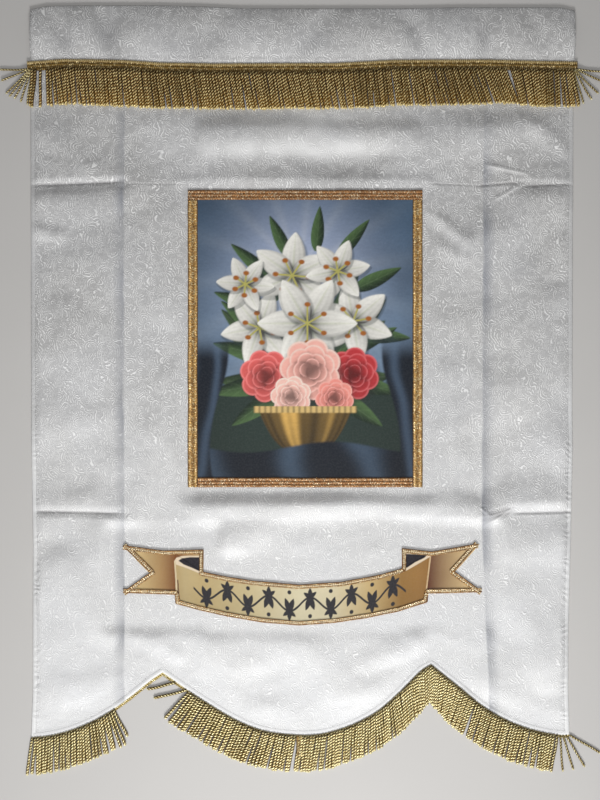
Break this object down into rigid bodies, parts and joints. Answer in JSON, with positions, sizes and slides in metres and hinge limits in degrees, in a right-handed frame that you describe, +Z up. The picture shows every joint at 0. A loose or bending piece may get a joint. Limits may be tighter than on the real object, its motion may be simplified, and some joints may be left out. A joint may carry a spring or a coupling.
{
  "type": "church banner",
  "caption": "Cloth church banner lying flat: satin panel with scalloped hem, rod pocket, gold cord fringe, braid-framed picture and a ribbon scroll.",
  "frame": {"origin": "on the ground under the middle of the banner's box", "axes": "+Z up, +Y towards the rod pocket, +X to the viewer's right with the face up"},
  "size_m": [1.1083, 1.4116, 0.0122],
  "materials": {
    "satin": "silver-white jacquard satin",
    "fringe": "twisted antique-gold metallic cord",
    "braid": "coppery gold metallic braid",
    "picture": "printed satin",
    "ribbon": "printed satin"
  },
  "bodies": {
    "root": {"cloth": "satin", "rod_pocket": "satin", "fringe_top": "fringe", "fringe_hem_left": "fringe", "fringe_hem_right": "fringe", "fringe_tab": "braid", "picture_print": "picture", "picture_braid_top": "braid", "picture_braid_left": "braid", "picture_braid_right": "braid", "picture_braid_bottom": "braid", "ribbon_print": "ribbon", "ribbon_braid_upper": "braid", "ribbon_braid_right": "braid", "ribbon_braid_lower": "braid", "ribbon_braid_left": "braid"}
  },
  "joints": []
}
